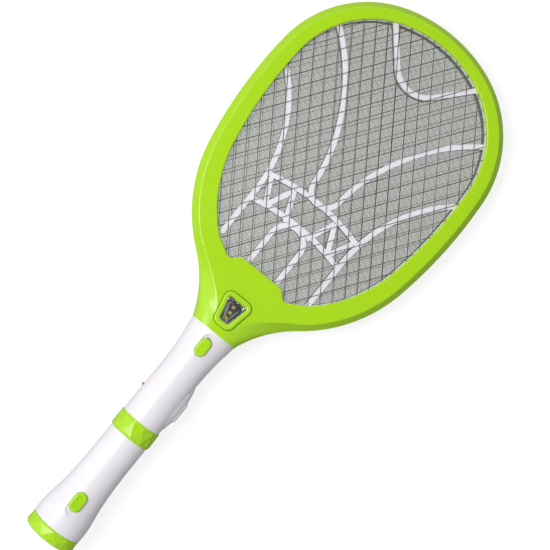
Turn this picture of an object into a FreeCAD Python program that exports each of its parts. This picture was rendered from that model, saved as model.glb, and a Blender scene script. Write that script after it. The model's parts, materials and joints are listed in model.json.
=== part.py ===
import FreeCAD, Part

import math
import os

# Electric fly swatter with a pull-off torch in its butt. Millimetres. The object lies face up:
# x across the head, y from the torch's front face to the head's tip, z up out of the front nets.
# Sizes below count y from the torch's front face and z from the handle's centre line.

V = FreeCAD.Vector
Y_AXIS = V(0, 1, 0)
Z_AXIS = V(0, 0, 1)
X_AXIS = V(1, 0, 0)

LENGTH = 500.0
BEZEL_R = 21.6
ORIGIN_SHIFT = V(0, -LENGTH / 2, BEZEL_R)
FIT = 0.3
BIG = 600.0

# Head: each half outline is five tangent arcs, (radius, turn in degrees), clockwise from the tip.
NECK_Y = 202.4
HEAD_ARCS = ((121.91, 18.8), (92.21, 66.63), (361.75, 15.4), (121.06, 41.4), (-95.7, -31.53))
RIM_Z = 9.0
RIM_SIDE_Z = 1.5
RIM_BEVEL = 5.3
COVER_WALL = 2.2
CAVITY_Z = 6.4
DOME_WALL = 3.0

# Window: tangent arcs down each side, a straight run and a small arc at the notch, then the lip.
WINDOW_TOP = 486.6
WINDOW_ARCS = ((100.9, 19.8), (78.1, 66.4), (331.8, 14.9), (114.8, 34.9), (30.0, 15.0))
NOTCH_RUN = 13.0
NOTCH_R = 3.5
NOTCH_TURN = 71.0
LIP_R = 6.0
LIP_Y = 260.9

# Neck: the round handle swells into the head, (y, half width); its height eases down to the rim.
NECK_STATIONS = ((196.0, 20.0), (202.4, 20.6), (217.0, 22.5), (232.0, 25.5), (247.0, 29.0), (262.0, 33.0))
NECK_HIGH = 16.9
NECK_LOW = 8.8
NECK_FALL = (198.0, 262.0)

# Nets and the ribbed spacers that hold them apart.
FRAME_GROW = 4.7
NET_GROW = 3.5
NET_WIRE = 0.8
NET_Z = 5.1
NET_SIDE = 10.0
NET_LEAN = 35.0
CENTRE_PITCH = 8.0
CENTRE_Z = 0.4
RIB_WIDTH = 4.0
RIB_Z = (1.0, 5.0)

# Screws: countersunk from the back.
SCREW_INSET = 6.6
SCREW_R = 0.9
SCREW_HEAD_R = 1.9
BOSS_R = 2.4
BACK_SINK = 1.8
HEAD_SCREWS = ((1, 0.1), (1, 0.5), (1, 0.95), (2, 0.9), (3, 0.6))
NECK_SCREW = (24.0, 243.0)
HANDLE_SCREW_Y = (134.0, 158.5, 190.0)

# Handle: (y, half width, half height).
HANDLE_STATIONS = (
    (113.4, 17.0, 16.9),
    (142.0, 16.9, 16.8),
    (157.0, 16.7, 16.6),
    (173.0, 17.1, 16.6),
    (188.5, 18.6, 16.7),
    (202.4, 20.6, 16.9),
)
HANDLE_WALL = 2.0
SPIGOT_Y = 108.0
COLLAR_Y = (98.5, 113.4)
COLLAR_R = 17.7
COLLAR_BORE = 16.95
SPIGOT_R = 16.6
SPIGOT_BORE = 15.8

# Lamp in the neck: a rounded trapezoid, (half width at the handle end, at the head end, half length).
LAMP_Y = 222.7
LAMP_OUTER = (9.6, 12.9, 14.8)
LAMP_OPENING = (5.4, 8.6, 10.2)
LAMP_CORNER = 6.0
LAMP_SINK = 11.0

# Switches and the side button.
LAMP_KNOB = (15.5, 9.3)
LAMP_KNOB_Y = 188.0
LAMP_FLOOR_Z = 15.2
LAMP_TRAVEL = 3.5
TORCH_KNOB = (16.2, 9.7)
TORCH_KNOB_Y = 37.6
TORCH_FLOOR_Z = 17.75
TORCH_TRAVEL = 4.0
TORCH_KNOB_LEAN = 7.9
BUTTON_Y = 136.7
BUTTON = (21.0, 10.0)
BUTTON_OUT_X = 20.8
BUTTON_FLANGE_X = 12.0
MOUND = (20.0, 39.0, 14.0)
MOUND_Y = 138.0

# Torch: its outside is turned, (y, radius).
TORCH_PROFILE = ((10.6, 21.2), (17.5, 21.4), (25.0, 20.8), (33.0, 19.6), (42.0, 18.4), (56.0, 17.3), (98.0, 16.8))
TORCH_WALL = 2.2
TAIL_MID = (109.0, 15.3)
TAIL_END = (116.2, 12.3)
BEZEL_Y = 10.4
PIN_R = 2.0
PIN_X = 9.5
PIN_END = 121.4
SOCKET_WALL_Y = (119.8, 121.8)
CONTACT_R = 4.3


class Pen:
    """Draws lines and tangent arcs. A positive radius turns clockwise; grow pushes the line outwards."""

    def __init__(self, x, y, grow=0.0):
        self.x = x
        self.y = y + grow
        self.grow = grow
        self.heading = 0.0
        self.edges = []

    def ahead(self, length):
        a = math.radians(self.heading)
        return self.x + length * math.cos(a), self.y - length * math.sin(a)

    def line(self, length):
        end = self.ahead(length)
        self.edges.append(Part.makeLine(V(self.x, self.y, 0), V(*end, 0)))
        self.x, self.y = end

    def along_arc(self, radius, turn):
        r = radius + self.grow
        a = math.radians(self.heading)
        b = math.radians(self.heading + turn)
        return self.x + r * (math.sin(b) - math.sin(a)), self.y + r * (math.cos(b) - math.cos(a))

    def arc(self, radius, turn):
        middle = self.along_arc(radius, turn / 2)
        end = self.along_arc(radius, turn)
        points = [V(self.x, self.y, 0), V(*middle, 0), V(*end, 0)]
        self.edges.append(Part.Arc(*points).toShape())
        self.x, self.y = end
        self.heading += turn


def mirrored_wire(pen, z):
    """Closes the right half's edges with their mirror images in the plane x = 0."""
    left = [e.mirror(V(0, 0, 0), X_AXIS) for e in pen.edges]
    if pen.x > 0.01:
        left.append(Part.makeLine(V(pen.x, pen.y, 0), V(-pen.x, pen.y, 0)))
    wire = Part.Wire(Part.__sortEdges__(pen.edges + left))
    wire.translate(V(0, 0, z))
    return wire


def head_wire(inset, z):
    pen = Pen(0, LENGTH, -inset)
    for radius, turn in HEAD_ARCS:
        pen.arc(radius, turn)
    drop = pen.y - (NECK_Y - 6)
    pen.line(drop / math.sin(math.radians(pen.heading)))
    return mirrored_wire(pen, z)


def window_wire(grow, z):
    pen = Pen(0, WINDOW_TOP, grow)
    for radius, turn in WINDOW_ARCS:
        pen.arc(radius, turn)
    pen.line(NOTCH_RUN)
    pen.arc(NOTCH_R, NOTCH_TURN)
    climb = math.radians(pen.heading - 180)
    lip_r = LIP_R - grow
    rise = LIP_Y - grow - pen.y - lip_r * (1 - math.cos(climb))
    pen.line(rise / math.sin(climb))
    pen.arc(-LIP_R, -math.degrees(climb))
    pen.line(pen.x)
    return mirrored_wire(pen, z)


def prism(wire, height):
    return Part.Face(wire).extrude(V(0, 0, height))


def box(x, y, z):
    """A box from three (low, high) pairs."""
    return Part.makeBox(x[1] - x[0], y[1] - y[0], z[1] - z[0], V(x[0], y[0], z[0]))


def rod(r, y0, y1, x=0.0, z=0.0):
    return Part.makeCylinder(r, y1 - y0, V(x, y0, z), Y_AXIS)


def post(r, x, y, z0, z1):
    return Part.makeCylinder(r, z1 - z0, V(x, y, z0), Z_AXIS)


def turned(points):
    """Revolves a closed (y, radius) polygon about the centre line."""
    ring = [V(0, y, r) for y, r in points]
    return Part.Face(Part.makePolygon(ring + ring[:1])).revolve(V(0, 0, 0), Y_AXIS, 360)


def pill(length, width, z0, z1):
    """An upright slab with round ends, long in y, centred on x = y = 0."""
    run = length - width
    middle = box((-width / 2, width / 2), (-run / 2, run / 2), (z0, z1))
    ends = [post(width / 2, 0, y, z0, z1) for y in (-run / 2, run / 2)]
    return middle.fuse(ends).removeSplitter()


def upper(shape):
    return shape.common(box((-BIG, BIG), (-BIG, BIG), (0, BIG)))


def flipped(shape):
    return shape.mirror(V(0, 0, 0), Z_AXIS)


def ellipse_wire(y, a, b):
    """An upright ellipse across the handle, a wide and b high, with a larger than b."""
    edge = Part.Ellipse(V(0, 0, 0), a, b).toShape()
    edge.rotate(V(0, 0, 0), X_AXIS, 90)
    edge.translate(V(0, y, 0))
    return Part.Wire(edge)


def neck_height(y):
    start, end = NECK_FALL
    t = min(1.0, max(0.0, (y - start) / (end - start)))
    return NECK_HIGH - (NECK_HIGH - NECK_LOW) * t * t * (3 - 2 * t)


def neck_lean(y):
    return math.degrees(math.atan((neck_height(y + 1) - neck_height(y - 1)) / 2))


def neck_dome(inset):
    wires = [ellipse_wire(y, a - inset, neck_height(y) - inset) for y, a in NECK_STATIONS]
    return Part.makeLoft(wires, True, False)


def handle_solid(inset):
    wires = [ellipse_wire(y, a - inset, b - inset) for y, a, b in HANDLE_STATIONS]
    return Part.makeLoft(wires, True, False)


def rim_solid(inset, side_z, top_z):
    """The head's outline with an upright side and a bevelled edge, above z = 0."""
    wires = [head_wire(inset, 0), head_wire(inset, side_z), head_wire(inset + RIM_BEVEL, top_z)]
    return Part.makeLoft(wires, True, True)


def boss_points():
    """Places of the head screws: along the outline, then one each side of the neck."""
    points = []
    for index, share in HEAD_SCREWS:
        pen = Pen(0, LENGTH, -SCREW_INSET)
        for radius, turn in HEAD_ARCS[:index]:
            pen.arc(radius, turn)
        radius, turn = HEAD_ARCS[index]
        points.append(pen.along_arc(radius, turn * share))
    points.append(NECK_SCREW)
    return [(side * x, y) for x, y in points for side in (1, -1)]


def lamp_wire(half_widths, z, corner):
    """A trapezoid with round corners, wider towards the head, centred on x = y = 0."""
    low, high, half = half_widths
    points = [V(-low, -half, 0), V(low, -half, 0), V(high, half, 0), V(-high, half, 0)]
    slab = Part.Face(Part.makePolygon(points + points[:1])).extrude(V(0, 0, 1))
    upright = [e for e in slab.Edges if abs(e.Vertexes[0].Z - e.Vertexes[1].Z) > 0.5]
    slab = slab.makeFillet(corner, upright)
    top = max(slab.Faces, key=lambda f: f.CenterOfMass.z)
    wire = top.OuterWire
    wire.translate(V(0, 0, z - 1))
    return wire


def in_neck(shape):
    """Puts a lamp piece, drawn with z = 0 on the neck's skin, in its place."""
    shape.rotate(V(0, 0, 0), X_AXIS, neck_lean(LAMP_Y))
    shape.translate(V(0, LAMP_Y, neck_height(LAMP_Y)))
    return shape


def grown(half_widths, by):
    return tuple(value + by for value in half_widths)


def head_shell():
    """Half of the head's case, above z = 0, with its window, screw bosses and spigot."""
    after_neck = box((-BIG, BIG), (NECK_Y, BIG), (-BIG, BIG))
    outside = rim_solid(0, RIM_SIDE_Z, RIM_Z).fuse(upper(neck_dome(0))).common(after_neck)
    inside = rim_solid(COVER_WALL, 0.6, CAVITY_Z).fuse(upper(neck_dome(DOME_WALL)))
    shell = outside.cut(inside).cut(prism(window_wire(0, -1), RIM_Z + 2))
    sleeve = neck_sleeve(DOME_WALL - 0.4, DOME_WALL + 1.2)
    bosses = [post(BOSS_R, x, y, 0, CAVITY_Z + 0.6) for x, y in boss_points()]
    return shell.fuse([sleeve] + bosses)


def neck_sleeve(outer_inset, inner_inset):
    """Half a sleeve, open at its middle, that reaches from the neck into the handle."""
    span = box((-BIG, BIG), (NECK_STATIONS[0][0], NECK_Y + 4), (0, BIG))
    gap = box((-9.0, 9.0), (0, BIG), (0, BIG))
    return neck_dome(outer_inset).cut(neck_dome(inner_inset)).common(span).cut(gap)


def make_head_front_cover():
    shell = head_shell()
    holes = [post(SCREW_R + 0.05, x, y, -1, CAVITY_Z - 0.6) for x, y in boss_points()]
    lamp = Part.Face(lamp_wire(grown(LAMP_OUTER, FIT), -6, LAMP_CORNER)).extrude(V(0, 0, 12))
    return shell.cut(holes + [in_neck(lamp)])


def make_head_rear_cover():
    shell = flipped(head_shell())
    holes = []
    for x, y in boss_points():
        holes.append(post(SCREW_R + 0.4, x, y, -RIM_Z - 1, 1))
        holes.append(post(SCREW_HEAD_R + FIT, x, y, -RIM_Z - 1, -RIM_Z + BACK_SINK))
    return shell.cut(holes)


def screw(x, y, back_z, tip_z):
    """A cross-head screw that stands upright with its head at the back."""
    head = post(SCREW_HEAD_R, x, y, back_z, back_z + 1.3)
    shank = post(SCREW_R, x, y, back_z + 1.3, tip_z)
    cross = box((x - 1.1, x + 1.1), (y - 0.22, y + 0.22), (back_z, back_z + 0.7))
    other = box((x - 0.22, x + 0.22), (y - 1.1, y + 1.1), (back_z, back_z + 0.7))
    return head.fuse(shank).cut([cross, other])


def make_head_screws():
    return [screw(x, y, -RIM_Z + BACK_SINK - 1.35, CAVITY_Z - 1.2) for x, y in boss_points()]


def rib_arc(start, middle, end):
    """A flat rib that follows the arc through three points."""
    path = Part.Arc(V(*start, 0), V(*middle, 0), V(*end, 0)).toShape().Curve
    sides = []
    for side in (-1, 1):
        share = 1 + side * RIB_WIDTH / 2 / path.Radius
        points = [path.Center + (V(*p, 0) - path.Center) * share for p in (start, middle, end)]
        sides.append(Part.Arc(*points))
    edges = [side.toShape() for side in sides]
    ends = [[e.valueAt(e.FirstParameter), e.valueAt(e.LastParameter)] for e in edges]
    caps = [Part.makeLine(a, b) for a, b in zip(*ends)]
    wire = Part.Wire(Part.__sortEdges__(edges + caps))
    return rib_slab(wire)


def rib_line(start, end):
    run = V(*end, 0) - V(*start, 0)
    across = V(-run.y, run.x, 0).normalize() * (RIB_WIDTH / 2)
    low, high = V(*start, 0), V(*end, 0)
    corners = [low - across, high - across, high + across, low + across]
    return rib_slab(Part.makePolygon(corners + corners[:1]))


def rib_slab(wire):
    slab = Part.Face(wire).extrude(V(0, 0, RIB_Z[1] - RIB_Z[0]))
    slab.translate(V(0, 0, RIB_Z[0]))
    return slab


def side_ribs():
    """Ribs of the right half: outer rib, the Y's arm, the top U's arm, the arch's leg and the band."""
    return [
        rib_line((44.0, 262.0), (44.0, 306.0)),
        rib_arc((44.0, 306.0), (54.0, 354.0), (90.0, 400.5)),
        rib_arc((12.5, 342.0), (17.5, 368.0), (27.0, 391.0)),
        rib_arc((27.0, 391.0), (47.5, 423.0), (78.0, 450.5)),
        rib_line((17.0, 450.5), (42.5, 479.5)),
        rib_line((13.8, 259.0), (13.8, 290.5)),
        rib_line((10.5, 303.0), (20.5, 326.5)),
        rib_line((31.0, 303.5), (20.5, 326.5)),
        rib_line((31.0, 303.5), (41.0, 323.0)),
    ]


def centre_ribs():
    return [
        rib_arc((-12.5, 342.0), (0.0, 329.5), (12.5, 342.0)),
        rib_arc((-17.0, 450.5), (0.0, 443.5), (17.0, 450.5)),
        rib_arc((-13.8, 290.5), (0.0, 304.3), (13.8, 290.5)),
        rib_arc((-45.0, 324.0), (0.0, 330.5), (45.0, 324.0)),
        rib_arc((-45.0, 300.5), (0.0, 306.5), (45.0, 300.5)),
    ]


def make_spacer_grid():
    height = RIB_Z[1] - RIB_Z[0]
    outline = prism(window_wire(FRAME_GROW, RIB_Z[0]), height)
    ring = outline.cut(prism(window_wire(-0.4, RIB_Z[0]), height))
    ribs = [rib for rib in side_ribs()]
    ribs += [rib.mirror(V(0, 0, 0), X_AXIS) for rib in side_ribs()]
    ribs += centre_ribs()
    return ring.fuse([rib.common(outline) for rib in ribs])


def lattice(step_x, step_y, shift):
    """Centres of a diagonal lattice over the window."""
    centres = []
    rows = int(LENGTH / step_y)
    for row in range(rows):
        for column in range(-rows, rows):
            offset = step_x / 2 if row % 2 else 0.0
            centres.append((column * step_x + offset + shift, NECK_Y + row * step_y))
    return centres


def net_plate(cell, centres, thick, z):
    """A thin plate with the window's outline and one hole per cell that lies wholly inside it."""
    inner = Part.Face(window_wire(NET_GROW - 2.0, 0))
    bounds = inner.BoundBox
    wires = [window_wire(NET_GROW, 0)]
    for x, y in centres:
        if not bounds.isInside(V(x, y, 0)):
            continue
        corners = [V(x + dx, y + dy, 0) for dx, dy in cell]
        if all(inner.isInside(p, 0.01, False) for p in corners):
            wires.append(Part.makePolygon(corners + corners[:1]))
    plate = Part.makeFace(wires, "Part::FaceMakerCheese").extrude(V(0, 0, thick))
    plate.translate(V(0, 0, z))
    return plate


def make_diamond_net(z, shift):
    lean = math.radians(NET_LEAN)
    wide = 2 * NET_SIDE * math.sin(lean)
    tall = 2 * NET_SIDE * math.cos(lean)
    pitch = NET_SIDE * math.sin(2 * lean)
    share = (pitch - NET_WIRE) / pitch / 2
    cell = [(wide * share, 0), (0, tall * share), (-wide * share, 0), (0, -tall * share)]
    return net_plate(cell, lattice(wide, tall / 2, shift * wide), NET_WIRE, z)


def make_centre_net():
    half = (CENTRE_PITCH - NET_WIRE) / 2
    cell = [(half, -half), (half, half), (-half, half), (-half, -half)]
    rows = int(LENGTH / CENTRE_PITCH)
    centres = [(c * CENTRE_PITCH, NECK_Y + r * CENTRE_PITCH) for r in range(rows) for c in range(-rows, rows)]
    return net_plate(cell, centres, 2 * CENTRE_Z, -CENTRE_Z)


def lamp_slab(half_widths, z0, z1, corner):
    return Part.Face(lamp_wire(half_widths, z0, corner)).extrude(V(0, 0, z1 - z0))


def make_lamp_bezel():
    ring = lamp_slab(LAMP_OUTER, -5.0, 1.4, LAMP_CORNER)
    top = [e for e in ring.Edges if e.BoundBox.ZMin > 1.3]
    ring = ring.makeFillet(1.3, top)
    hole = lamp_slab(LAMP_OPENING, -6.0, 2.0, LAMP_CORNER - 2.0)
    seat = lamp_slab(grown(LAMP_OPENING, 1.5), -6.0, -0.6, LAMP_CORNER - 1.0)
    return in_neck(ring.cut([hole, seat]))


def make_lamp_lens():
    return in_neck(lamp_slab(grown(LAMP_OPENING, 1.3), -1.8, -0.7, LAMP_CORNER - 1.0))


def make_lamp_reflector():
    block = lamp_slab(grown(LAMP_OPENING, 1.3), -9.5, -1.9, LAMP_CORNER - 1.0)
    mouth = lamp_wire(grown(LAMP_OPENING, 0.4), -1.8, LAMP_CORNER - 2.0)
    floor = lamp_wire(grown(LAMP_OPENING, -2.4), -8.5, 2.5)
    cup = Part.makeLoft([floor, mouth], True, True)
    leads = [post(1.8, 0, y, -10.0, -8.0) for y in (-5.0, 0.0, 5.0)]
    return in_neck(block.cut([cup] + leads))


def lamp_led(y):
    body = post(1.5, 0, y, -9.6, -7.4)
    return body.fuse(Part.makeSphere(1.5, V(0, y, -7.4)))


def make_lamp_leds():
    return [in_neck(lamp_led(y)) for y in (-5.0, 0.0, 5.0)]


def make_lamp_board():
    return in_neck(box((-7.0, 7.0), (-9.5, 9.5), (-LAMP_SINK, -9.7)))


def mound():
    """The swelling on the right side around the power button."""
    ball = Part.makeSphere(1.0)
    stretch = FreeCAD.Matrix()
    stretch.scale(V(*MOUND))
    swelling = ball.transformGeometry(stretch)
    swelling.translate(V(0, MOUND_Y, 0))
    return swelling.common(box((14.5, BIG), (COLLAR_Y[1] + 1, BIG), (-BIG, BIG)))


def button_slab(grow, x0, x1):
    """The side button's outline as a slab that is thick along x."""
    slab = pill(BUTTON[0] + 2 * grow, BUTTON[1] + 2 * grow, x0, x1)
    slab.rotate(V(0, 0, 0), Y_AXIS, 90)
    slab.translate(V(0, BUTTON_Y, 0))
    return slab


def handle_half():
    """Half of the handle's case, above z = 0, with the screw bosses' upper or lower part."""
    case = handle_solid(0).fuse(mound())
    case = case.cut(handle_solid(HANDLE_WALL)).cut(button_slab(FIT, 8.0, BUTTON_OUT_X + 4))
    case = case.cut(Part.makeCylinder(1.6, 14.0, V(-24.0, BUTTON_Y, 0), X_AXIS))
    spigot = rod(SPIGOT_R, SPIGOT_Y, COLLAR_Y[1] + 3.0).cut(rod(SPIGOT_BORE, 0, BIG))
    end_wall = rod(15.2, *SOCKET_WALL_Y).cut([rod(CONTACT_R + 0.1, 100, 130, x) for x in (-PIN_X, PIN_X)])
    bosses = [post(3.0, 0, y, 0, 15.5) for y in HANDLE_SCREW_Y]
    bores = [post(SCREW_R + 0.4, 0, y, -1, 14.0) for y in HANDLE_SCREW_Y]
    return upper(case.fuse([spigot, end_wall] + bosses)).cut(bores)


def make_handle_front_shell():
    shell = handle_half()
    pocket_y = LAMP_KNOB_Y + LAMP_TRAVEL / 2
    length = LAMP_KNOB[0] + LAMP_TRAVEL + 2 * FIT
    width = LAMP_KNOB[1] + 2 * FIT
    pad = pill(length + 3, width + 3, LAMP_FLOOR_Z - 2.0, LAMP_FLOOR_Z + 0.2)
    pocket = pill(length, width, LAMP_FLOOR_Z, 20.0)
    slot = box((-2.0, 2.0), (-6.5, 6.5), (10.0, 20.0))
    for piece in (pad, pocket, slot):
        piece.translate(V(0, pocket_y, 0))
    boss_gap = post(5.0, 0, HANDLE_SCREW_Y[2], -1, LAMP_FLOOR_Z - 2.0)
    return shell.fuse(pad).cut([pocket, slot, boss_gap])


def make_handle_rear_shell():
    shell = flipped(handle_half())
    sinks = [post(SCREW_HEAD_R + FIT, 0, y, -20.0, -14.5) for y in HANDLE_SCREW_Y]
    bores = [post(SCREW_R + 0.4, 0, y, -16, 1) for y in HANDLE_SCREW_Y]
    return shell.cut(sinks + bores)


def make_handle_screws():
    tips = (11.0, 11.0, -1.0)
    return [screw(0, y, -15.9, tip) for y, tip in zip(HANDLE_SCREW_Y, tips)]


def make_collar_ring():
    ring = rod(COLLAR_R, *COLLAR_Y)
    ring = ring.makeFillet(1.0, [e for e in ring.Edges if e.Curve.TypeId == "Part::GeomCircle"])
    return ring.cut([rod(COLLAR_BORE, 90, SPIGOT_Y), rod(SPIGOT_R + 0.02, SPIGOT_Y - 1, 120)])


def knob(size, height, crown):
    """A slide knob: a pill with a rounded top edge, its underside at z = 0, and a stem below."""
    top = pill(*size, 0.0, height)
    edges = [e for e in top.Edges if e.BoundBox.ZMin > height - 0.1]
    return top.makeFillet(crown, edges)


def make_lamp_switch_knob():
    top = knob(LAMP_KNOB, 2.9, 1.4)
    stem = box((-1.5, 1.5), (-2.5, 2.5), (-5.4, 0.1))
    piece = top.fuse(stem)
    piece.translate(V(0, LAMP_KNOB_Y, LAMP_FLOOR_Z + FIT))
    return piece


def slide_switch(y, top, groove):
    """A slide switch's case, with the groove its lever runs in and three pins."""
    case = box((-4.0, 4.0), (y - 6.0, y + 6.0), (top - 5.0, top))
    run = box((-2.0, 2.0), (y - groove, y + groove), (top - 3.0, top + 1))
    pins = [post(0.4, 0, y + dy, top - 8.0, top - 4.9) for dy in (-4.0, 0.0, 4.0)]
    return case.cut(run).fuse(pins)


def make_lamp_slide_switch():
    return slide_switch(LAMP_KNOB_Y + LAMP_TRAVEL / 2, 12.8, 5.2)


def make_power_button():
    cap = button_slab(0, BUTTON_FLANGE_X, BUTTON_OUT_X)
    outer = [e for e in cap.Edges if e.BoundBox.XMin > BUTTON_OUT_X - 0.1]
    cap = cap.makeFillet(1.8, outer)
    flange = button_slab(1.0, BUTTON_FLANGE_X, BUTTON_FLANGE_X + 1.2)
    return cap.fuse(flange)


def make_power_tact_switch():
    case = box((4.4, 8.0), (BUTTON_Y - 3, BUTTON_Y + 3), (-3.6, 2.4))
    plunger = Part.makeCylinder(1.6, 1.6, V(7.9, BUTTON_Y, -0.6), X_AXIS)
    legs = [box((4.6, 5.0), (BUTTON_Y + dy, BUTTON_Y + dy + 0.6), (-4.0, -3.5)) for dy in (-2.4, 1.8)]
    return case.fuse([plunger] + legs)


def make_indicator_led():
    body = Part.makeCylinder(1.45, 7.0, V(-16.6, BUTTON_Y, 0), X_AXIS)
    return body.fuse(Part.makeSphere(1.45, V(-16.6, BUTTON_Y, 0)))


def make_voltage_board():
    board = box((-11.5, 9.6), (139.0, 193.0), (-5.6, -4.0))
    gaps = [post(3.4, 0, y, -7, -3) for y in HANDLE_SCREW_Y[1:]]
    return board.cut(gaps)


def make_step_up_transformer():
    core = box((-8.0, 8.0), (163.5, 166.0), (-4.0, 8.0))
    core = core.fuse(box((-8.0, 8.0), (176.0, 178.5), (-4.0, 8.0)))
    centre = rod(3.0, 165.5, 176.5, 0, 2.0)
    winding = rod(5.8, 166.2, 175.8, 0, 2.0).cut(rod(3.1, 160, 180, 0, 2.0))
    return [core.fuse(centre), winding]


def make_storage_capacitor():
    can = box((-10.0, -3.8), (143.0, 156.5), (-3.9, 6.5))
    can = can.makeFillet(1.2, [e for e in can.Edges if e.Length > 5])
    return can


def axial_part(x, y, r, length):
    body = rod(r, y - length / 2, y + length / 2, x, -4.0 + r + 0.1)
    lead = rod(0.35, y - length / 2 - 2, y + length / 2 + 2, x, -4.0 + r + 0.1)
    return body.fuse(lead)


def make_rectifier_parts():
    return [axial_part(x, y, 1.3, 5.0) for x in (5.0, 8.1) for y in (153.0, 184.5)]


def make_socket_contacts():
    sleeves = []
    for x in (-PIN_X, PIN_X):
        sleeve = rod(CONTACT_R, SOCKET_WALL_Y[0] - 0.8, SOCKET_WALL_Y[1] + 1.2, x)
        sleeve = sleeve.cut(rod(PIN_R + FIT, 100, SOCKET_WALL_Y[1] + 0.2, x))
        sleeves.append(sleeve)
    return sleeves


def torch_solid(inset):
    """The torch's outside, or its inside at a wall's depth, turned about the centre line."""
    points = [V(0, y, r - inset) for y, r in TORCH_PROFILE]
    curve = Part.BSplineCurve()
    curve.interpolate(points)
    end = V(0, TAIL_END[0] - inset, TAIL_END[1] - inset)
    tail = Part.Arc(points[-1], V(0, TAIL_MID[0] - inset * 0.5, TAIL_MID[1] - inset * 0.9), end)
    back = Part.makeLine(end, V(0, end.y, 0))
    axis = Part.makeLine(V(0, end.y, 0), V(0, points[0].y, 0))
    front = Part.makeLine(V(0, points[0].y, 0), points[0])
    wire = Part.Wire([curve.toShape(), tail.toShape(), back, axis, front])
    return Part.Face(wire).revolve(V(0, 0, 0), Y_AXIS, 360)


def on_torch(shape):
    """Puts a piece of the torch's switch, drawn with z = 0 on the pocket's floor, in its place."""
    shape.rotate(V(0, 0, 0), X_AXIS, -TORCH_KNOB_LEAN)
    shape.translate(V(0, TORCH_KNOB_Y, TORCH_FLOOR_Z))
    return shape


def make_torch_body():
    neck = rod(19.1, 5.6, 12.0).cut(rod(18.1, 0, 20.0))
    hollow = torch_solid(TORCH_WALL).common(rod(BEZEL_R, 12.6, LENGTH))
    shell = torch_solid(0).cut([hollow, rod(18.1, 0, 13.0)])
    length = TORCH_KNOB[0] + TORCH_TRAVEL + 2 * FIT
    width = TORCH_KNOB[1] + 2 * FIT
    pad = on_torch(moved_y(pill(length + 3, width + 3, -2.2, -0.1), -TORCH_TRAVEL / 2))
    pocket = on_torch(moved_y(pill(length, width, 0.0, 6.0), -TORCH_TRAVEL / 2))
    slot = on_torch(moved_y(box((-2.0, 2.0), (-6.0, 6.0), (-8.0, 6.0)), -TORCH_TRAVEL / 2))
    sockets = [rod(PIN_R - 0.3, 100, 120, x) for x in (-PIN_X, PIN_X)]
    pad = pad.common(torch_solid(0.2))
    return shell.fuse([neck, pad]).cut([pocket, slot] + sockets)


def moved_y(shape, dy):
    shape.translate(V(0, dy, 0))
    return shape


def make_torch_switch_knob():
    top = knob(TORCH_KNOB, 3.4, 1.2)
    stem = box((-1.5, 1.5), (-2.5, 2.5), (-5.0, 0.1))
    grooves = [box((-2.6, 2.6), (y - 0.5, y + 0.5), (2.8, 4.0)) for y in (-4.4, -2.2, 0.0, 2.2, 4.4)]
    lifted = top.fuse(stem).cut(grooves)
    lifted.translate(V(0, 0, FIT))
    return on_torch(lifted)


def make_torch_slide_switch():
    return on_torch(moved_y(slide_switch(0, -2.6, 5.0), -TORCH_TRAVEL / 2))


def make_torch_bezel():
    points = [
        (0.0, 17.6),
        (0.0, 20.4),
        (1.1, BEZEL_R),
        (BEZEL_Y, BEZEL_R),
        (BEZEL_Y, 19.2),
        (5.4, 19.2),
        (5.4, 18.4),
        (2.2, 18.4),
        (2.2, 16.9),
        (0.7, 16.9),
    ]
    return turned(points)


def make_torch_lens():
    return turned([(2.3, 0.0), (2.3, 18.1), (3.9, 18.1), (3.9, 0.0)])


def make_lens_seal():
    return turned([(4.0, 16.9), (4.0, 18.2), (4.9, 18.2), (4.9, 16.9)])


def make_torch_reflector():
    points = [
        (5.0, 16.8),
        (5.0, 17.9),
        (6.0, 17.9),
        (6.0, 17.4),
        (13.0, 12.6),
        (21.5, 5.4),
        (21.5, 3.4),
        (20.5, 3.4),
        (20.5, 4.0),
        (12.5, 11.4),
    ]
    return turned(points)


def make_torch_led():
    holder = rod(3.2, 20.6, 22.0).fuse(rod(2.8, 21.9, 24.0))
    return holder.cut(rod(3.9, 21.5, 23.9).cut(rod(2.8, 21, 24.2))).fuse(led_dome())


def led_dome():
    dome = rod(2.3, 17.6, 20.7)
    return dome.fuse(Part.makeSphere(2.3, V(0, 17.6, 0)))


def make_torch_led_board():
    return turned([(24.1, 0.0), (24.1, 9.0), (25.6, 9.0), (25.6, 0.0)])


def make_torch_cell():
    can = rod(9.1, 44.0, 94.0, 0, -4.0)
    can = can.makeFillet(0.8, [e for e in can.Edges if e.Curve.TypeId == "Part::GeomCircle"])
    return can.fuse(rod(3.0, 42.8, 44.1, 0, -4.0))


def make_charging_board():
    return box((-9.5, 9.5), (44.0, 96.0), (6.4, 8.0))


def make_dropper_capacitor():
    can = box((-5.0, 5.0), (60.0, 73.0), (8.1, 12.6))
    return can.makeFillet(1.2, [e for e in can.Edges if e.Length > 3])


def make_charging_pins():
    pins = []
    for x in (-PIN_X, PIN_X):
        pin = rod(PIN_R, 116.25, PIN_END, x)
        pin = pin.makeFillet(1.5, [e for e in pin.Edges if e.BoundBox.YMin > PIN_END - 0.1])
        pins.append(pin.fuse(rod(PIN_R - 0.3, 108.0, 116.3, x)))
    return pins


def save(name, shapes):
    shapes = shapes if isinstance(shapes, list) else [shapes]
    solids = [solid for shape in shapes for solid in shape.Solids]
    whole = solids[0] if len(solids) == 1 else Part.makeCompound(solids)
    whole.translate(ORIGIN_SHIFT)
    whole.exportStep(f"parts/{name}.step")
    box_now = whole.BoundBox
    print(f"{name:24s} solids {len(solids):2d} valid {whole.isValid()} volume {whole.Volume:10.1f}", box_now)


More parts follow.
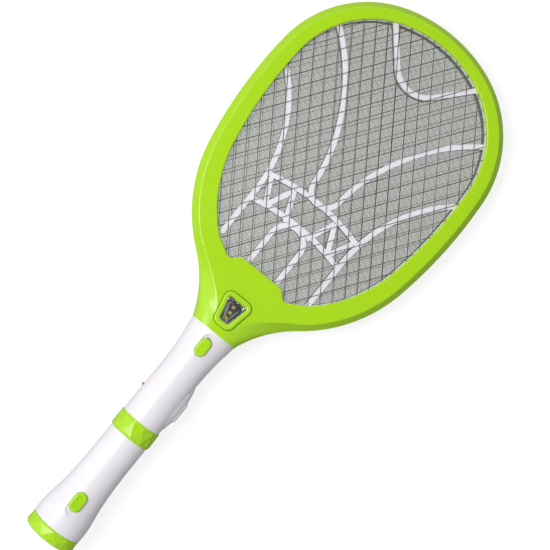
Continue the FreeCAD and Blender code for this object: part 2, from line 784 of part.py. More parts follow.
def main():
    os.makedirs("parts", exist_ok=True)
    save("head_front_cover", make_head_front_cover())
    save("head_rear_cover", make_head_rear_cover())
    save("head_screws", make_head_screws())
    spacer = make_spacer_grid()
    save("front_spacer_grid", spacer.copy())
    save("rear_spacer_grid", flipped(spacer))
    save("front_net", make_diamond_net(NET_Z, 0.0))
    save("rear_net", make_diamond_net(-NET_Z - NET_WIRE, 0.25))
    save("centre_net", make_centre_net())
    save("lamp_bezel", make_lamp_bezel())
    save("lamp_lens", make_lamp_lens())
    save("lamp_reflector", make_lamp_reflector())
    save("lamp_leds", make_lamp_leds())
    save("lamp_board", make_lamp_board())
    save("handle_front_shell", make_handle_front_shell())
    save("handle_rear_shell", make_handle_rear_shell())
    save("handle_screws", make_handle_screws())
    save("collar_ring", make_collar_ring())
    save("lamp_switch_knob", make_lamp_switch_knob())
    save("lamp_slide_switch", make_lamp_slide_switch())
    save("power_button", make_power_button())
    save("power_tact_switch", make_power_tact_switch())
    save("indicator_led", make_indicator_led())
    save("voltage_board", make_voltage_board())
    save("step_up_transformer", make_step_up_transformer())
    save("storage_capacitor", make_storage_capacitor())
    save("rectifier_parts", make_rectifier_parts())
    save("socket_contacts", make_socket_contacts())
    save("torch_body", make_torch_body())
    save("torch_bezel", make_torch_bezel())
    save("torch_lens", make_torch_lens())
    save("lens_seal", make_lens_seal())
    save("torch_reflector", make_torch_reflector())
    save("torch_led", make_torch_led())
    save("torch_led_board", make_torch_led_board())
    save("torch_switch_knob", make_torch_switch_knob())
    save("torch_slide_switch", make_torch_slide_switch())
    save("torch_cell", make_torch_cell())
    save("charging_board", make_charging_board())
    save("dropper_capacitor", make_dropper_capacitor())
    save("charging_pins", make_charging_pins())


main()
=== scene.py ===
import json
import math

import bmesh
import bpy
import numpy as np
from mathutils import Matrix, Vector

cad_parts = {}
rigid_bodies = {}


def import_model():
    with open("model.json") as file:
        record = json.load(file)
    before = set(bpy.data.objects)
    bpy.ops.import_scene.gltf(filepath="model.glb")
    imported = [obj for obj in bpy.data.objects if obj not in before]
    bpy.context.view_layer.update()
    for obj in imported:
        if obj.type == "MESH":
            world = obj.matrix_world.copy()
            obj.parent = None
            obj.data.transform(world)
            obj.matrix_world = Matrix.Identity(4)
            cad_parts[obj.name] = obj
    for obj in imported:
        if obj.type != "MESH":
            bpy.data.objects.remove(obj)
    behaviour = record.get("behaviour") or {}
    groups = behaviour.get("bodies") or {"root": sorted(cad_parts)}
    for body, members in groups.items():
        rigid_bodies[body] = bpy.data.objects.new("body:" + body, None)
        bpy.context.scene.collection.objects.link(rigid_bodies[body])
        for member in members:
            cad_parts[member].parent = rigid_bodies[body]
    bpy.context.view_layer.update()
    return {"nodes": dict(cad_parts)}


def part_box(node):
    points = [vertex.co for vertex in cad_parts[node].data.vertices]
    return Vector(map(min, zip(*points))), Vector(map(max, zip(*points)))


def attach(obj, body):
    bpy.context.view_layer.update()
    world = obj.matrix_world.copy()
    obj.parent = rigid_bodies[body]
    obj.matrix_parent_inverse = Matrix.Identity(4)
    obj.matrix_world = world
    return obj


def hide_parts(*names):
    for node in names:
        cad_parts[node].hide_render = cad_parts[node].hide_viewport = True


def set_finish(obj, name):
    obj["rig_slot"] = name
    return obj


# Looks for the electric fly swatter. Sizes are millimetres: x across the head, y from the torch's front
# face to the head's tip, z up from the handle's centre line. place() turns them into the frame's metres.

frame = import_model()
NODES = frame["nodes"]
MM = 0.001
SHARP = 35.0
FRONT_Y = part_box("torch_bezel")[0].y
AXIS_Z = sum(corner.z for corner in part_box("torch_bezel")) / 2

# Head outline and window: tangent arcs (radius, turn in degrees), clockwise from the tip. NECK_SHARE is how
# far the seam with the handle moves when the outline steps inwards by one. WINDOW_EDGE rounds the window's
# edge, as pairs of distance outside the window and drop. RIM_INSETS are the steps over the rim's bevel.
LENGTH = 500.0
NECK_Y = 202.4
HEAD_ARCS = ((121.91, 18.8), (92.21, 66.63), (361.75, 15.4), (121.06, 41.4), (-95.7, -31.53))
RIM_Z = 9.0
RIM_SIDE_Z = 1.5
RIM_BEVEL = 5.3
WINDOW_TOP = 486.6
WINDOW_ARCS = ((100.9, 19.8), (78.1, 66.4), (331.8, 14.9), (114.8, 34.9), (30.0, 15.0))
NOTCH_RUN = 13.0
NOTCH_R = 3.5
NOTCH_TURN = 71.0
LIP_R = 6.0
LIP_Y = 260.9
NECK_HIGH = 16.9
NECK_LOW = 8.8
NECK_FALL = (198.0, 262.0)
NECK_BLEND = 42.0
NECK_ROUND = 19.2
SQUARENESS = 2.5
RIM_BLEND = 0.6
BEVEL_BLEND = 0.7
BEVEL_PACE = 0.8
NECK_SHARE = math.cos(math.radians(69.3))
WINDOW_EDGE = ((1.3, 0.0), (0.8, 0.08), (0.4, 0.27), (0.12, 0.62), (0.0, 1.1), (0.0, 5.0))
RIM_INSETS = (0.0, 0.08, 0.25, 0.55, 1.0, 1.7, 2.5, 3.4, 4.2, 4.7, 5.1, 5.5, 6.0, 7.0)
SPAN_STEPS = 26
ARC_STEPS = (50, 70, 30, 50)
CORNER_STEPS = (20, 10, 20)
LIP_STEPS = (8, 12, 18)

# Nets: the wires' lean off the long axis, mesh side, how far they run under the rim, radii of wire and knot,
# the fine net's side and radius, the nets' centre along the head, reach, height and weave.
NET_LEAN = 35.0
NET_SIDE = 10.0
NET_GROW = 3.5
NET_R = 0.25
KNOT_R = 0.42
FINE_SIDE = 1.0
FINE_R = 0.21
NET_Y = 375.0
NET_REACH = 160.0
NET_Z = 5.5
NET_WEAVE = 0.1

# Lamp: half width at the handle end, half width at the head end, half length.
LAMP_Y = 222.7
LAMP_OUTER = (9.1, 12.3, 14.0)
LAMP_OPENING = (5.3, 8.9, 10.3)
LAMP_CORNER = 6.0
OPENING_CORNER = 2.8
LAMP_GAP = 0.45

# Power button: where it is along the handle, its length and width.
BUTTON_Y = 136.7
BUTTON = (21.0, 10.0)

# Faceted rings: outer radii, and how many straight pieces make one facet's side.
COLLAR_R = 18.0
BEZEL_R = 21.6
FACET_SPLIT = 4


# ---------------------------------------------------------------- geometry helpers


def place(points):
    """Design millimetres to frame metres."""
    return np.asarray(points, float) * MM + (0.0, FRONT_Y, AXIS_Z)


def ease(t):
    """0 to 1 with a soft start and a soft end."""
    t = np.clip(t, 0.0, 1.0)
    return t * t * (3 - 2 * t)


def soft_max(a, b, k):
    """The larger of two values, rounded off where they differ by less than k."""
    h = np.clip(0.5 + 0.5 * (a - b) / k, 0, 1)
    return a * h + b * (1 - h) + k * h * (1 - h)


def soft_min(a, b, k):
    return -soft_max(-a, -b, k)


def new_piece(name, points, faces, sharp=SHARP):
    """A mesh from design points, smooth but for its edges that turn by more than the sharp angle."""
    mesh = bpy.data.meshes.new(name)
    mesh.from_pydata([tuple(p) for p in place(points)], [], faces)
    mesh.validate()
    mesh.shade_smooth()
    mesh.set_sharp_from_angle(angle=math.radians(sharp))
    obj = bpy.data.objects.new(name, mesh)
    bpy.context.scene.collection.objects.link(obj)
    return obj


def ring_faces(rows, count, start=0):
    """Quads between rows of count points, each row a closed ring."""
    faces = []
    for i in range(rows - 1):
        a = start + i * count
        b = a + count
        for j in range(count):
            k = (j + 1) % count
            faces.append((a + j, a + k, b + k, b + j))
    return faces


def rings_piece(name, rings, closed=False, sharp=SHARP):
    """A surface through closed rings of points, with end caps, or closed on itself."""
    count = len(rings[0])
    points = np.concatenate(rings)
    faces = ring_faces(len(rings), count)
    last = (len(rings) - 1) * count
    if closed:
        for j in range(count):
            k = (j + 1) % count
            faces.append((last + j, last + k, k, j))
    else:
        faces.append(tuple(reversed(range(count))))
        faces.append(tuple(range(last, last + count)))
    obj = new_piece(name, points, faces, sharp)
    fix_normals(obj)
    return obj


def fix_normals(obj):
    """Turns a closed piece's faces outwards."""
    work = bmesh.new()
    work.from_mesh(obj.data)
    bmesh.ops.recalc_face_normals(work, faces=work.faces)
    work.to_mesh(obj.data)
    work.free()


class Pen:
    """Walks along lines and tangent arcs from the centre line; a positive radius turns clockwise."""

    def __init__(self, y, grow=0.0):
        self.x = 0.0
        self.y = y + grow
        self.grow = grow
        self.heading = 0.0
        self.points = [(self.x, self.y)]

    def line_to(self, x, y, steps):
        for i in range(1, steps + 1):
            t = i / steps
            self.points.append((self.x + (x - self.x) * t, self.y + (y - self.y) * t))
        self.x, self.y = x, y

    def line(self, length, steps):
        a = math.radians(self.heading)
        self.line_to(self.x + length * math.cos(a), self.y - length * math.sin(a), steps)

    def arc(self, radius, turn, steps):
        r = radius + self.grow
        a = math.radians(self.heading)
        for i in range(1, steps + 1):
            b = a + math.radians(turn) * i / steps
            x = self.x + r * (math.sin(b) - math.sin(a))
            y = self.y + r * (math.cos(b) - math.cos(a))
            self.points.append((x, y))
        self.x, self.y = self.points[-1]
        self.heading += turn


def both_sides(points):
    """The right half's points and their mirror images, as one closed ring."""
    half = np.array(points)
    left = half[-2:0:-1] * (-1, 1)
    return np.concatenate((half, left))


def head_ring(inset):
    """The head's outline, stepped inwards."""
    pen = Pen(LENGTH, -inset)
    steps = ARC_STEPS + (sum(CORNER_STEPS),)
    for (radius, turn), n in zip(HEAD_ARCS, steps):
        pen.arc(radius, turn, n)
    drop = pen.y - (NECK_Y + NECK_SHARE * inset)
    pen.line(drop / math.sin(math.radians(pen.heading)), LIP_STEPS[0])
    pen.line_to(0.0, pen.y, LIP_STEPS[1] + LIP_STEPS[2])
    return both_sides(pen.points)


def window_ring(grow):
    """The window's outline, stepped outwards, with the notch and the lip above the lamp."""
    pen = Pen(WINDOW_TOP, grow)
    steps = ARC_STEPS + (CORNER_STEPS[0],)
    for (radius, turn), n in zip(WINDOW_ARCS, steps):
        pen.arc(radius, turn, n)
    pen.line(NOTCH_RUN, CORNER_STEPS[1])
    pen.arc(NOTCH_R, NOTCH_TURN, CORNER_STEPS[2])
    climb = math.radians(pen.heading - 180)
    rise = LIP_Y - grow - pen.y - (LIP_R - grow) * (1 - math.cos(climb))
    pen.line(rise / math.sin(climb), LIP_STEPS[0])
    pen.arc(-LIP_R, -math.degrees(climb), LIP_STEPS[1])
    pen.line_to(0.0, pen.y, LIP_STEPS[2])
    return both_sides(pen.points)


# ---------------------------------------------------------------- head front cover


def neck_height(y):
    """Height of the neck's flat top, which falls towards the window."""
    start, end = NECK_FALL
    return NECK_HIGH - (NECK_HIGH - NECK_LOW) * ease((y - start) / (end - start))


def neck_lean(y):
    """The neck's slope along the head, in degrees."""
    return math.degrees(math.atan((neck_height(y + 1) - neck_height(y - 1)) / 2))


def edge_distance(xy):
    """Distance of each point from the head's side outline."""
    side = head_ring(0.0)
    side = side[side[:, 1] > NECK_Y + 0.01]
    batch = 400
    gaps = [np.hypot(*(side[:, None, :] - part[None, :, :]).transpose(2, 0, 1)).min(axis=0)
            for part in np.array_split(xy, max(1, len(xy) // batch))]
    return np.concatenate(gaps)


def head_top(xy, inset=None):
    """Height of the head's front skin: a bevelled flat rim that rises and rounds into the neck."""
    y = xy[:, 1]
    inset = edge_distance(xy) if inset is None else inset
    along = (y - NECK_Y) / NECK_BLEND
    top = soft_max(neck_height(y), RIM_Z, RIM_BLEND)
    side = RIM_SIDE_Z * ease(along)
    width = NECK_ROUND + (RIM_BEVEL - NECK_ROUND) * ease(along * BEVEL_PACE)
    bevel = soft_min(side + inset * (top - side) / width, top, BEVEL_BLEND)
    share = np.clip(inset / NECK_ROUND, 0, 1)
    round_side = top * (1 - (1 - share) ** SQUARENESS) ** (1 / SQUARENESS)
    blend = ease(along)
    return round_side * (1 - blend) + bevel * blend


def make_head_front():
    """The front half of the head's case, from its outline over the rim to the window's wall."""
    rings = []
    outer = head_ring(0.0)
    rings.append(np.column_stack((outer, np.zeros(len(outer)))))
    for inset in RIM_INSETS:
        xy = head_ring(inset)
        gap = np.full(len(xy), inset)
        on_neck = xy[:, 1] < NECK_Y + NECK_SHARE * inset + 1e-6
        gap[on_neck] = edge_distance(xy[on_neck])
        rings.append(np.column_stack((xy, head_top(xy, gap))))
    start = rings[-1][:, :2]
    end = window_ring(WINDOW_EDGE[0][0])
    for i in range(1, SPAN_STEPS):
        xy = start + (end - start) * i / SPAN_STEPS
        rings.append(np.column_stack((xy, head_top(xy))))
    for grow, drop in WINDOW_EDGE:
        xy = window_ring(grow)
        rings.append(np.column_stack((xy, head_top(xy) - drop)))
    inner = window_ring(0.0)
    rings.append(np.column_stack((inner, np.zeros(len(inner)))))
    cover = rings_piece("head_front_skin", rings, closed=True)
    cut(cover, lamp_rings(LAMP_GAP, ((0, -12.0), (0, 8.0))))
    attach(cover, "racket")
    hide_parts("head_front_cover")
    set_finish(cover, "green_plastic")
    return cover


def cut(obj, rings):
    """Takes a closed shape out of a piece."""
    tool = rings_piece("cutter", rings)
    change = obj.modifiers.new("cut", "BOOLEAN")
    change.operation = "DIFFERENCE"
    change.solver = "EXACT"
    change.object = tool
    bpy.context.view_layer.update()
    result = bpy.data.meshes.new_from_object(obj.evaluated_get(bpy.context.evaluated_depsgraph_get()))
    obj.modifiers.clear()
    obj.data = result
    obj.data.name = obj.name
    result.shade_smooth()
    result.set_sharp_from_angle(angle=math.radians(SHARP))
    bpy.data.objects.remove(tool)


# ---------------------------------------------------------------- lamp


def rounded_trapezoid(half_widths, inset, corner, steps):
    """A trapezoid with round corners, wider towards the head, as a ring of points."""
    least = 0.6
    low, high, half = (value - inset for value in half_widths)
    corner = max(least, corner - inset)
    points = []
    for cx, cy, start in ((high, half, 0), (-high, half, 90), (-low, -half, 180), (low, -half, 270)):
        mx = cx - math.copysign(corner, cx)
        my = cy - math.copysign(corner, cy)
        for i in range(steps + 1):
            a = math.radians(start + 90 * i / steps)
            points.append((mx + corner * math.cos(a), my + corner * math.sin(a)))
    return np.array(points)


def in_neck(points):
    """Puts a lamp ring, drawn with z = 0 on the neck's skin, in its place."""
    turn = Matrix.Rotation(math.radians(neck_lean(LAMP_Y)), 3, "X")
    moved = points @ np.array(turn).T
    return moved + (0, LAMP_Y, float(neck_height(LAMP_Y)))


def lamp_rings(grow, levels, outline=LAMP_OUTER, corner=LAMP_CORNER, steps=8):
    """Rings of the lamp's outline, from (inset, height) pairs."""
    rings = []
    for inset, z in levels:
        xy = rounded_trapezoid(outline, inset - grow, corner, steps)
        rings.append(in_neck(np.column_stack((xy, np.full(len(xy), z)))))
    return rings


def make_lamp_bezel():
    """The lamp's round-edged surround, raised a little above the neck."""
    outside = ((0.0, -6.0), (0.0, -0.3), (0.15, 0.35), (0.5, 0.85), (1.1, 1.15), (2.0, 1.25), (2.9, 1.1))
    inside = ((0.0, 0.85), (0.25, 0.6), (0.5, 0.0), (0.7, -3.5), (1.0, -5.0))
    rings = lamp_rings(0, outside)
    rings += lamp_rings(0, inside, LAMP_OPENING, OPENING_CORNER)
    bezel = rings_piece("lamp_surround", rings, closed=True)
    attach(bezel, "racket")
    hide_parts("lamp_bezel")
    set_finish(bezel, "green_plastic")
    return bezel


def make_lamp_reflector():
    """A chromed cup whose sides are cut in flat facets, round the lamp's LEDs."""
    outside = ((-1.2, -9.4), (-1.2, -1.95), (-0.35, -1.95))
    inside = ((0.5, -4.0), (1.3, -6.2), (2.1, -8.5), (4.6, -7.0))
    rings = lamp_rings(0, outside + inside, LAMP_OPENING, OPENING_CORNER, 2)
    middle = rings[0].mean(axis=0)
    pull = 0.16
    for ring, share in ((rings[3], pull), (rings[4], -pull)):
        ring[1::2] += (middle - ring[1::2]) * (share, share, 0)
    cup = rings_piece("lamp_cup", rings, sharp=3.0)
    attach(cup, "racket")
    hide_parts("lamp_reflector")
    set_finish(cup, "chrome_plate")
    return cup


# ---------------------------------------------------------------- power button


def pill_ring(x, inset):
    """The power button's outline, stepped inwards, at x to the right of the centre line."""
    length, width = BUTTON
    straight = (length - width) / 2
    radius = width / 2 - inset
    turn = np.linspace(-math.pi / 2, math.pi / 2, 14)
    head_end = np.column_stack((BUTTON_Y + straight + radius * np.cos(turn), radius * np.sin(turn)))
    torch_end = np.column_stack((BUTTON_Y - straight - radius * np.cos(turn), -radius * np.sin(turn)))
    ring = np.concatenate((head_end, torch_end))
    return np.column_stack((np.full(len(ring), x), ring))


def make_power_button():
    """A domed pill that carries the handle's swelling on, over a flange that keeps it in."""
    levels = (
        (12.0, -1.0), (13.2, -1.0), (13.2, 0.0), (18.4, 0.0), (19.1, 0.25), (19.7, 0.8),
        (20.2, 1.6), (20.55, 2.6), (20.75, 3.7), (20.8, 4.7),
    )
    cap = rings_piece("power_button_cap", [pill_ring(x, inset) for x, inset in levels])
    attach(cap, "power_button")
    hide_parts("power_button")
    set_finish(cap, "white_plastic")
    return cap


# ---------------------------------------------------------------- nets


def inside_spans(origin, direction, outline):
    """Stretches of a line that lie inside a closed outline, as pairs of distances."""
    ahead = np.roll(outline, -1, axis=0) - outline
    normal = np.array((-direction[1], direction[0]))
    side = (outline - origin) @ normal
    step = ahead @ normal
    with np.errstate(divide="ignore", invalid="ignore"):
        t = -side / step
    hit = (np.abs(step) > 1e-9) & (t >= 0) & (t < 1)
    crossing = outline[hit] + ahead[hit] * t[hit][:, None]
    distance = np.sort((crossing - origin) @ direction)
    return [(a, b) for a, b in zip(distance[::2], distance[1::2]) if b - a > 2]


def wire_points(path, radius, sides):
    """Rings of points round a nearly flat path."""
    path = np.asarray(path)
    along = path[-1] - path[0]
    along /= np.linalg.norm(along)
    across = np.cross((0, 0, 1), along)
    across /= np.linalg.norm(across)
    up = np.cross(along, across)
    turn = np.linspace(0, 2 * math.pi, sides, endpoint=False) + math.pi / sides
    ring = radius * (np.cos(turn)[:, None] * across + np.sin(turn)[:, None] * up)
    return (path[:, None, :] + ring[None, :, :]).reshape(-1, 3)


def knot_points(centre):
    """The six corners of a small bead where two wires cross."""
    offsets = [(1, 0, 0), (0, 1, 0), (-1, 0, 0), (0, -1, 0), (0, 0, 1), (0, 0, -1)]
    return np.array(centre) + KNOT_R * np.array(offsets, float)


KNOT_FACES = ((0, 1, 4), (1, 2, 4), (2, 3, 4), (3, 0, 4), (1, 0, 5), (2, 1, 5), (3, 2, 5), (0, 3, 5))


def net_piece(name, node, slot, side, radius, z, shift=0.0, sides=6, weave=0.0):
    """Wires at plus and minus the lean inside the net's edge. Woven ones have a bead at each crossing."""
    outline = window_ring(NET_GROW)
    apart = math.radians(2 * NET_LEAN)
    pitch = side * math.sin(apart)
    points = []
    faces = []
    total = 0
    centre = np.array((shift, NET_Y))
    reach = int(NET_REACH / pitch)
    for sign in (-1, 1):
        lean = math.radians(90 + sign * NET_LEAN)
        direction = np.array((math.cos(lean), math.sin(lean)))
        normal = np.array((-direction[1], direction[0]))
        for i in range(-reach, reach + 1):
            origin = centre + normal * i * pitch
            for a, b in inside_spans(origin, direction, outline):
                path = [(*(origin + direction * a), z)]
                middle = i * math.cos(apart)
                ends = sorted((middle + sign * a / side, middle + sign * b / side))
                crossings = range(math.ceil(ends[0]), math.floor(ends[1]) + 1) if weave else ()
                for j in sorted(crossings, key=lambda n: sign * n):
                    x, y = origin + direction * sign * (j - middle) * side
                    over = sign * weave * (1 if (i + j) % 2 else -1)
                    path.append((x, y, z + over))
                    if sign == 1:
                        points.append(knot_points((x, y, z)))
                        faces += [tuple(total + corner for corner in face) for face in KNOT_FACES]
                        total += 6
                path.append((*(origin + direction * b), z))
                points.append(wire_points(path, radius, sides))
                faces += ring_faces(len(path), sides, total)
                end = total + (len(path) - 1) * sides
                faces.append(tuple(reversed(range(total, total + sides))))
                faces.append(tuple(range(end, end + sides)))
                total += len(path) * sides
    net = new_piece(name, np.concatenate(points), faces, sharp=70)
    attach(net, "racket")
    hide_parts(node)
    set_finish(net, slot)
    return net


def make_nets():
    """Two coarse nets, the rear one a quarter of a mesh to the side, and the fine net between them."""
    quarter = NET_SIDE * math.sin(math.radians(NET_LEAN)) / 2
    for name, node, z, shift in (
        ("front_net_wires", "front_net", NET_Z, 0.0),
        ("rear_net_wires", "rear_net", -NET_Z, quarter),
    ):
        net_piece(name, node, "net_steel", NET_SIDE, NET_R, z, shift, weave=NET_WEAVE)
    net_piece("fine_net_mesh", "centre_net", "fine_net_metal", FINE_SIDE, FINE_R, 0.0, sides=4)


# ---------------------------------------------------------------- faceted rings


def turned_rings(profile, count):
    """Rings round the handle's centre line, from (y, radius) pairs."""
    angles = np.linspace(0, 2 * math.pi, count, endpoint=False)
    rings = []
    for y, r in profile:
        rings.append(np.column_stack((r * np.cos(angles), np.full(count, y), r * np.sin(angles))))
    return rings


def facet_corners(radius, dip, y, count, dip_first):
    """A ring of count corners whose radius falls by dip at every other one, with straight sides between."""
    angles = np.linspace(0, 2 * math.pi, count, endpoint=False)
    fallen = np.arange(count) % 2 == (0 if dip_first else 1)
    radii = radius - dip * fallen
    corners = np.column_stack((radii * np.cos(angles), np.full(count, y), radii * np.sin(angles)))
    ahead = np.roll(corners, -1, axis=0)
    shares = np.arange(FACET_SPLIT) / FACET_SPLIT
    return (corners[:, None, :] + (ahead - corners)[:, None, :] * shares[None, :, None]).reshape(-1, 3)


def facet_faces(start, count):
    """Triangles that point forwards and back in turn, between two rings made by facet_corners."""
    faces = []
    total = count * FACET_SPLIT
    for j in range(count):
        low = [start + (j * FACET_SPLIT + m) % total for m in range(FACET_SPLIT + 1)]
        high = [total + point for point in low]
        near, far = (low[0], high[-1]) if j % 2 == 0 else (low[-1], high[0])
        for m in range(FACET_SPLIT):
            faces.append((low[m], low[m + 1], far))
            faces.append((high[m + 1], high[m], near))
    return faces


def make_faceted_ring(name, node, body, before, band, after, count):
    """A turned ring whose middle band is cut in triangles that point forwards and back in turn."""
    rounds = count * FACET_SPLIT
    y0, y1, radius, dip = band
    rings = turned_rings(before, rounds)
    first = len(rings)
    rings.append(facet_corners(radius, dip, y0, count, False))
    rings.append(facet_corners(radius, dip, y1, count, True))
    rings += turned_rings(after, rounds)
    faces = facet_faces(first * rounds, count)
    for i in range(len(rings)):
        if i != first:
            a = i * rounds
            b = ((i + 1) % len(rings)) * rounds
            for j in range(rounds):
                k = (j + 1) % rounds
                faces.append((a + j, a + k, b + k, b + j))
    ring = new_piece(name, np.concatenate(rings), faces, sharp=7.0)
    fix_normals(ring)
    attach(ring, body)
    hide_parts(node)
    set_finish(ring, "green_plastic")
    return ring


def make_collar():
    """The green collar round the handle's socket."""
    return make_faceted_ring(
        "collar_facets", "collar_ring", "racket",
        ((98.5, 16.95), (98.5, 17.1), (98.8, 17.4), (99.4, 17.7), (99.9, 17.8)),
        (100.6, 111.3, COLLAR_R, 0.8),
        ((112.0, 17.8), (112.6, 17.7), (113.1, 17.4), (113.4, 17.1), (113.4, 16.95)),
        24,
    )


def make_torch_bezel():
    """The torch's front ring, with the seats of its lens and seal."""
    return make_faceted_ring(
        "torch_bezel_facets", "torch_bezel", "torch",
        (
            (10.4, 19.2), (5.4, 19.2), (5.4, 18.4), (2.2, 18.4), (2.2, 16.9), (0.7, 16.9),
            (0.0, 17.6), (0.0, 20.2), (0.35, 20.8), (1.0, 21.25),
        ),
        (1.9, 9.0, BEZEL_R, 0.5),
        ((9.7, 21.3), (10.2, 21.0), (10.4, 20.6)),
        20,
    )


# ---------------------------------------------------------------- materials


def linear(r, g, b):
    """A screen colour, 0 to 255, as linear light."""
    out = []
    for value in (r, g, b):
        c = value / 255
        out.append(c / 12.92 if c <= 0.04045 else ((c + 0.055) / 1.055) ** 2.4)
    return (*out, 1.0)


class Finish:
    """A material built on one Principled shader, with noise for colour, roughness and bump."""

    def __init__(self, name, **sockets):
        self.material = bpy.data.materials.new(name)
        self.material.use_nodes = True
        self.tree = self.material.node_tree
        self.shader = self.tree.nodes["Principled BSDF"]
        self.place = self.tree.nodes.new("ShaderNodeTexCoord").outputs["Object"]
        for socket, value in sockets.items():
            self.shader.inputs[socket.replace("_", " ")].default_value = value

    def noise(self, scale, detail):
        node = self.tree.nodes.new("ShaderNodeTexNoise")
        node.inputs["Scale"].default_value = scale
        node.inputs["Detail"].default_value = detail
        self.tree.links.new(self.place, node.inputs["Vector"])
        return node.outputs["Fac"]

    def ramp(self, source, stops):
        """stops: (position, colour or grey) pairs."""
        node = self.tree.nodes.new("ShaderNodeValToRGB")
        ends = node.color_ramp.elements
        while len(ends) < len(stops):
            ends.new(0.5)
        for end, (position, value) in zip(ends, stops):
            end.position = position
            end.color = value if isinstance(value, tuple) else (value, value, value, 1.0)
        self.tree.links.new(source, node.inputs["Fac"])
        return node.outputs["Color"]

    def to(self, source, socket):
        self.tree.links.new(source, self.shader.inputs[socket])

    def bump(self, source, depth, under=None):
        node = self.tree.nodes.new("ShaderNodeBump")
        node.inputs["Strength"].default_value = 1.0
        node.inputs["Distance"].default_value = depth
        self.tree.links.new(source, node.inputs["Height"])
        if under:
            self.tree.links.new(under, node.inputs["Normal"])
        return node.outputs["Normal"]


def moulded(name, colour, shade, rough, grain=0.000004, **sockets):
    """Injection-moulded plastic: slight mottling, uneven gloss, a faint orange-peel skin."""
    f = Finish(name, **sockets)
    mottle = f.noise(38, 3)
    f.to(f.ramp(mottle, ((0.2, shade), (0.8, colour))), "Base Color")
    f.to(f.ramp(f.noise(160, 4), ((0.3, rough - 0.02), (0.7, rough + 0.03))), "Roughness")
    skin = f.bump(f.noise(520, 2), grain)
    f.to(f.bump(f.noise(2600, 2), grain / 4, under=skin), "Normal")
    return f.material


def metal(name, colour, shade, rough):
    """Bare or plated metal with a fine uneven surface."""
    f = Finish(name, Metallic=1.0)
    f.to(f.ramp(f.noise(700, 3), ((0.35, shade), (0.65, colour))), "Base Color")
    f.to(f.ramp(f.noise(1500, 2), ((0.3, rough - 0.05), (0.7, rough + 0.08))), "Roughness")
    f.to(f.bump(f.noise(2200, 2), 0.000015), "Normal")
    return f.material


def make_materials():
    """One finish for each material slot: light and dark shade, then roughness."""
    made = {}
    made["green_plastic"] = moulded("green_plastic", linear(172, 222, 30), linear(169, 219, 28), 0.24)
    made["white_plastic"] = moulded("white_plastic", linear(236, 234, 240), linear(231, 228, 235), 0.3)
    made["spacer_plastic"] = moulded("spacer_plastic", linear(238, 234, 243), linear(231, 227, 237), 0.45)
    made["net_steel"] = metal("net_steel", linear(128, 126, 120), linear(92, 90, 84), 0.38)
    made["fine_net_metal"] = metal("fine_net_metal", linear(140, 148, 132), linear(126, 134, 118), 0.5)
    made["chrome_plate"] = metal("chrome_plate", linear(235, 235, 236), linear(228, 228, 230), 0.09)
    made["clear_lens"] = moulded(
        "clear_lens", linear(250, 250, 252), linear(246, 247, 250), 0.07, 0.000001,
        Transmission_Weight=1.0, IOR=1.2,
    )
    made["led_epoxy"] = moulded("led_epoxy", linear(226, 200, 136), linear(214, 184, 108), 0.2)
    made["indicator_red"] = moulded("indicator_red", linear(196, 38, 28), linear(170, 28, 22), 0.25)
    made["board_green"] = moulded("board_green", linear(34, 92, 52), linear(28, 80, 44), 0.45)
    made["black_plastic"] = moulded("black_plastic", linear(36, 36, 38), linear(28, 28, 30), 0.5)
    made["switch_metal"] = metal("switch_metal", linear(196, 196, 198), linear(170, 170, 174), 0.3)
    made["core_ferrite"] = moulded("core_ferrite", linear(58, 54, 52), linear(46, 43, 41), 0.7)
    made["capacitor_film"] = moulded("capacitor_film", linear(150, 62, 34), linear(138, 54, 30), 0.35)
    made["cell_wrap"] = moulded("cell_wrap", linear(62, 104, 170), linear(54, 94, 158), 0.35)
    made["contact_brass"] = metal("contact_brass", linear(206, 170, 96), linear(186, 148, 78), 0.3)
    made["screw_steel"] = metal("screw_steel", linear(150, 150, 152), linear(120, 120, 124), 0.35)
    made["seal_rubber"] = moulded("seal_rubber", linear(196, 196, 190), linear(186, 186, 180), 0.6)
    return made


def dress(materials):
    """Gives every CAD node and every new piece its slot's finish."""
    for obj in list(bpy.data.objects):
        if obj.type != "MESH":
            continue
        slot = obj.get("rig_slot")
        if obj.name in NODES:
            slot = obj.data.materials[0].name.split(".")[0]
            obj.data.materials[0] = materials[slot]
            obj.data.shade_smooth()
            obj.data.set_sharp_from_angle(angle=math.radians(30))
        elif slot:
            obj.data.materials.clear()
            obj.data.materials.append(materials[slot])


# ---------------------------------------------------------------- stage


def make_stage():
    """A pale floor that the torch's rim and the head's tip both touch. It glows, and lights nothing else."""
    size = 4.0
    gap = 0.0003
    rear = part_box("head_rear_cover")
    lean = math.atan2(rear[0].z, rear[1].y - FRONT_Y)
    mesh = bpy.data.meshes.new("floor")
    corners = [(-size, -size, 0), (size, -size, 0), (size, size, 0), (-size, size, 0)]
    mesh.from_pydata(corners, [], [(0, 1, 2, 3)])
    floor = bpy.data.objects.new("floor", mesh)
    floor.rotation_euler = (lean, 0, 0)
    floor.location = (0, FRONT_Y, -gap)
    floor.visible_diffuse = False
    floor.visible_glossy = False
    bpy.context.scene.collection.objects.link(floor)
    f = Finish("floor_paper")
    f.to(f.ramp(f.noise(3, 2), ((0.3, 0.30), (0.7, 0.32))), "Base Color")
    f.shader.inputs["Emission Color"].default_value = (1.0, 1.0, 1.0, 1.0)
    f.shader.inputs["Emission Strength"].default_value = 0.78
    f.shader.inputs["Roughness"].default_value = 0.8
    f.shader.inputs["Specular IOR Level"].default_value = 0.1
    mesh.materials.append(f.material)


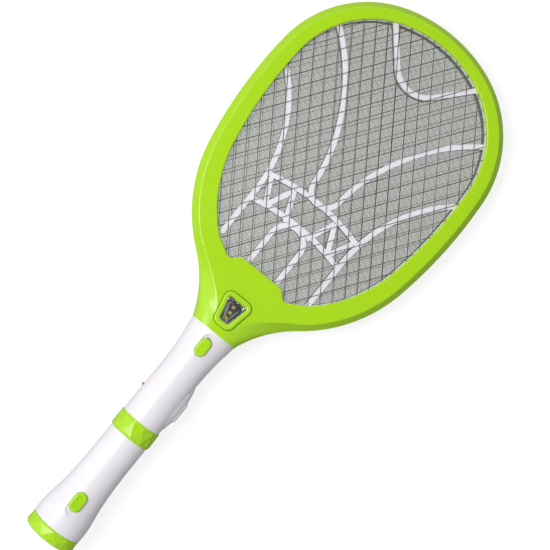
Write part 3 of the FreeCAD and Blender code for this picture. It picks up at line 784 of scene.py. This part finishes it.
def area_light(name, where, size, power, colour):
    """A square lamp that faces the origin."""
    data = bpy.data.lights.new(name, "AREA")
    data.energy = power
    data.size = size
    data.color = colour
    light = bpy.data.objects.new(name, data)
    light.location = where
    light.rotation_euler = (-Vector(where)).to_track_quat("-Z", "Y").to_euler()
    bpy.context.scene.collection.objects.link(light)


def make_lights():
    """One lamp above the left side, and walls, brighter on the left, with a dark floor and ceiling."""
    area_light("key", where=(-0.5, -0.2, 0.95), size=0.5, power=6.1, colour=(1.0, 0.99, 0.98))
    world = bpy.data.worlds.new("studio")
    bpy.context.scene.world = world
    world.use_nodes = True
    tree = world.node_tree
    direction = tree.nodes.new("ShaderNodeTexCoord").outputs["Generated"]
    split = tree.nodes.new("ShaderNodeSeparateXYZ")
    tree.links.new(direction, split.inputs[0])
    ramp = tree.nodes.new("ShaderNodeValToRGB")
    stops = ramp.color_ramp.elements
    for position in (0.06, 0.84):
        stops.new(position).color = (1.0, 1.0, 1.0, 1.0)
    stops[0].color = (0.42, 0.4, 0.39, 1.0)
    stops[-1].position = 0.93
    stops[-1].color = (0.1, 0.1, 0.11, 1.0)
    tree.links.new(split.outputs["Z"], ramp.inputs["Fac"])
    middle = 0.76
    towards_right = -0.3
    fall = tree.nodes.new("ShaderNodeMath")
    fall.operation = "MULTIPLY_ADD"
    fall.inputs[1].default_value = towards_right
    fall.inputs[2].default_value = middle
    tree.links.new(split.outputs["X"], fall.inputs[0])
    sky = tree.nodes["Background"]
    tree.links.new(ramp.outputs["Color"], sky.inputs["Color"])
    tree.links.new(fall.outputs[0], sky.inputs["Strength"])


def make_camera():
    """A long lens one metre above the handle, turned so that the racket lies across the corners."""
    data = bpy.data.cameras.new("view")
    data.lens = 82.6
    data.sensor_width = 36
    camera = bpy.data.objects.new("view", data)
    camera.location = (-0.0705, -0.0168, 1.0015)
    camera.rotation_euler = [math.radians(a) for a in (-1.44, -4.84, 39.1)]
    bpy.context.scene.collection.objects.link(camera)
    bpy.context.scene.camera = camera
    bpy.context.scene.view_settings.view_transform = "Standard"


# ---------------------------------------------------------------- build

make_head_front()
make_lamp_bezel()
make_lamp_reflector()
make_power_button()
make_nets()
make_collar()
make_torch_bezel()
make_stage()
make_lights()
make_camera()
dress(make_materials())
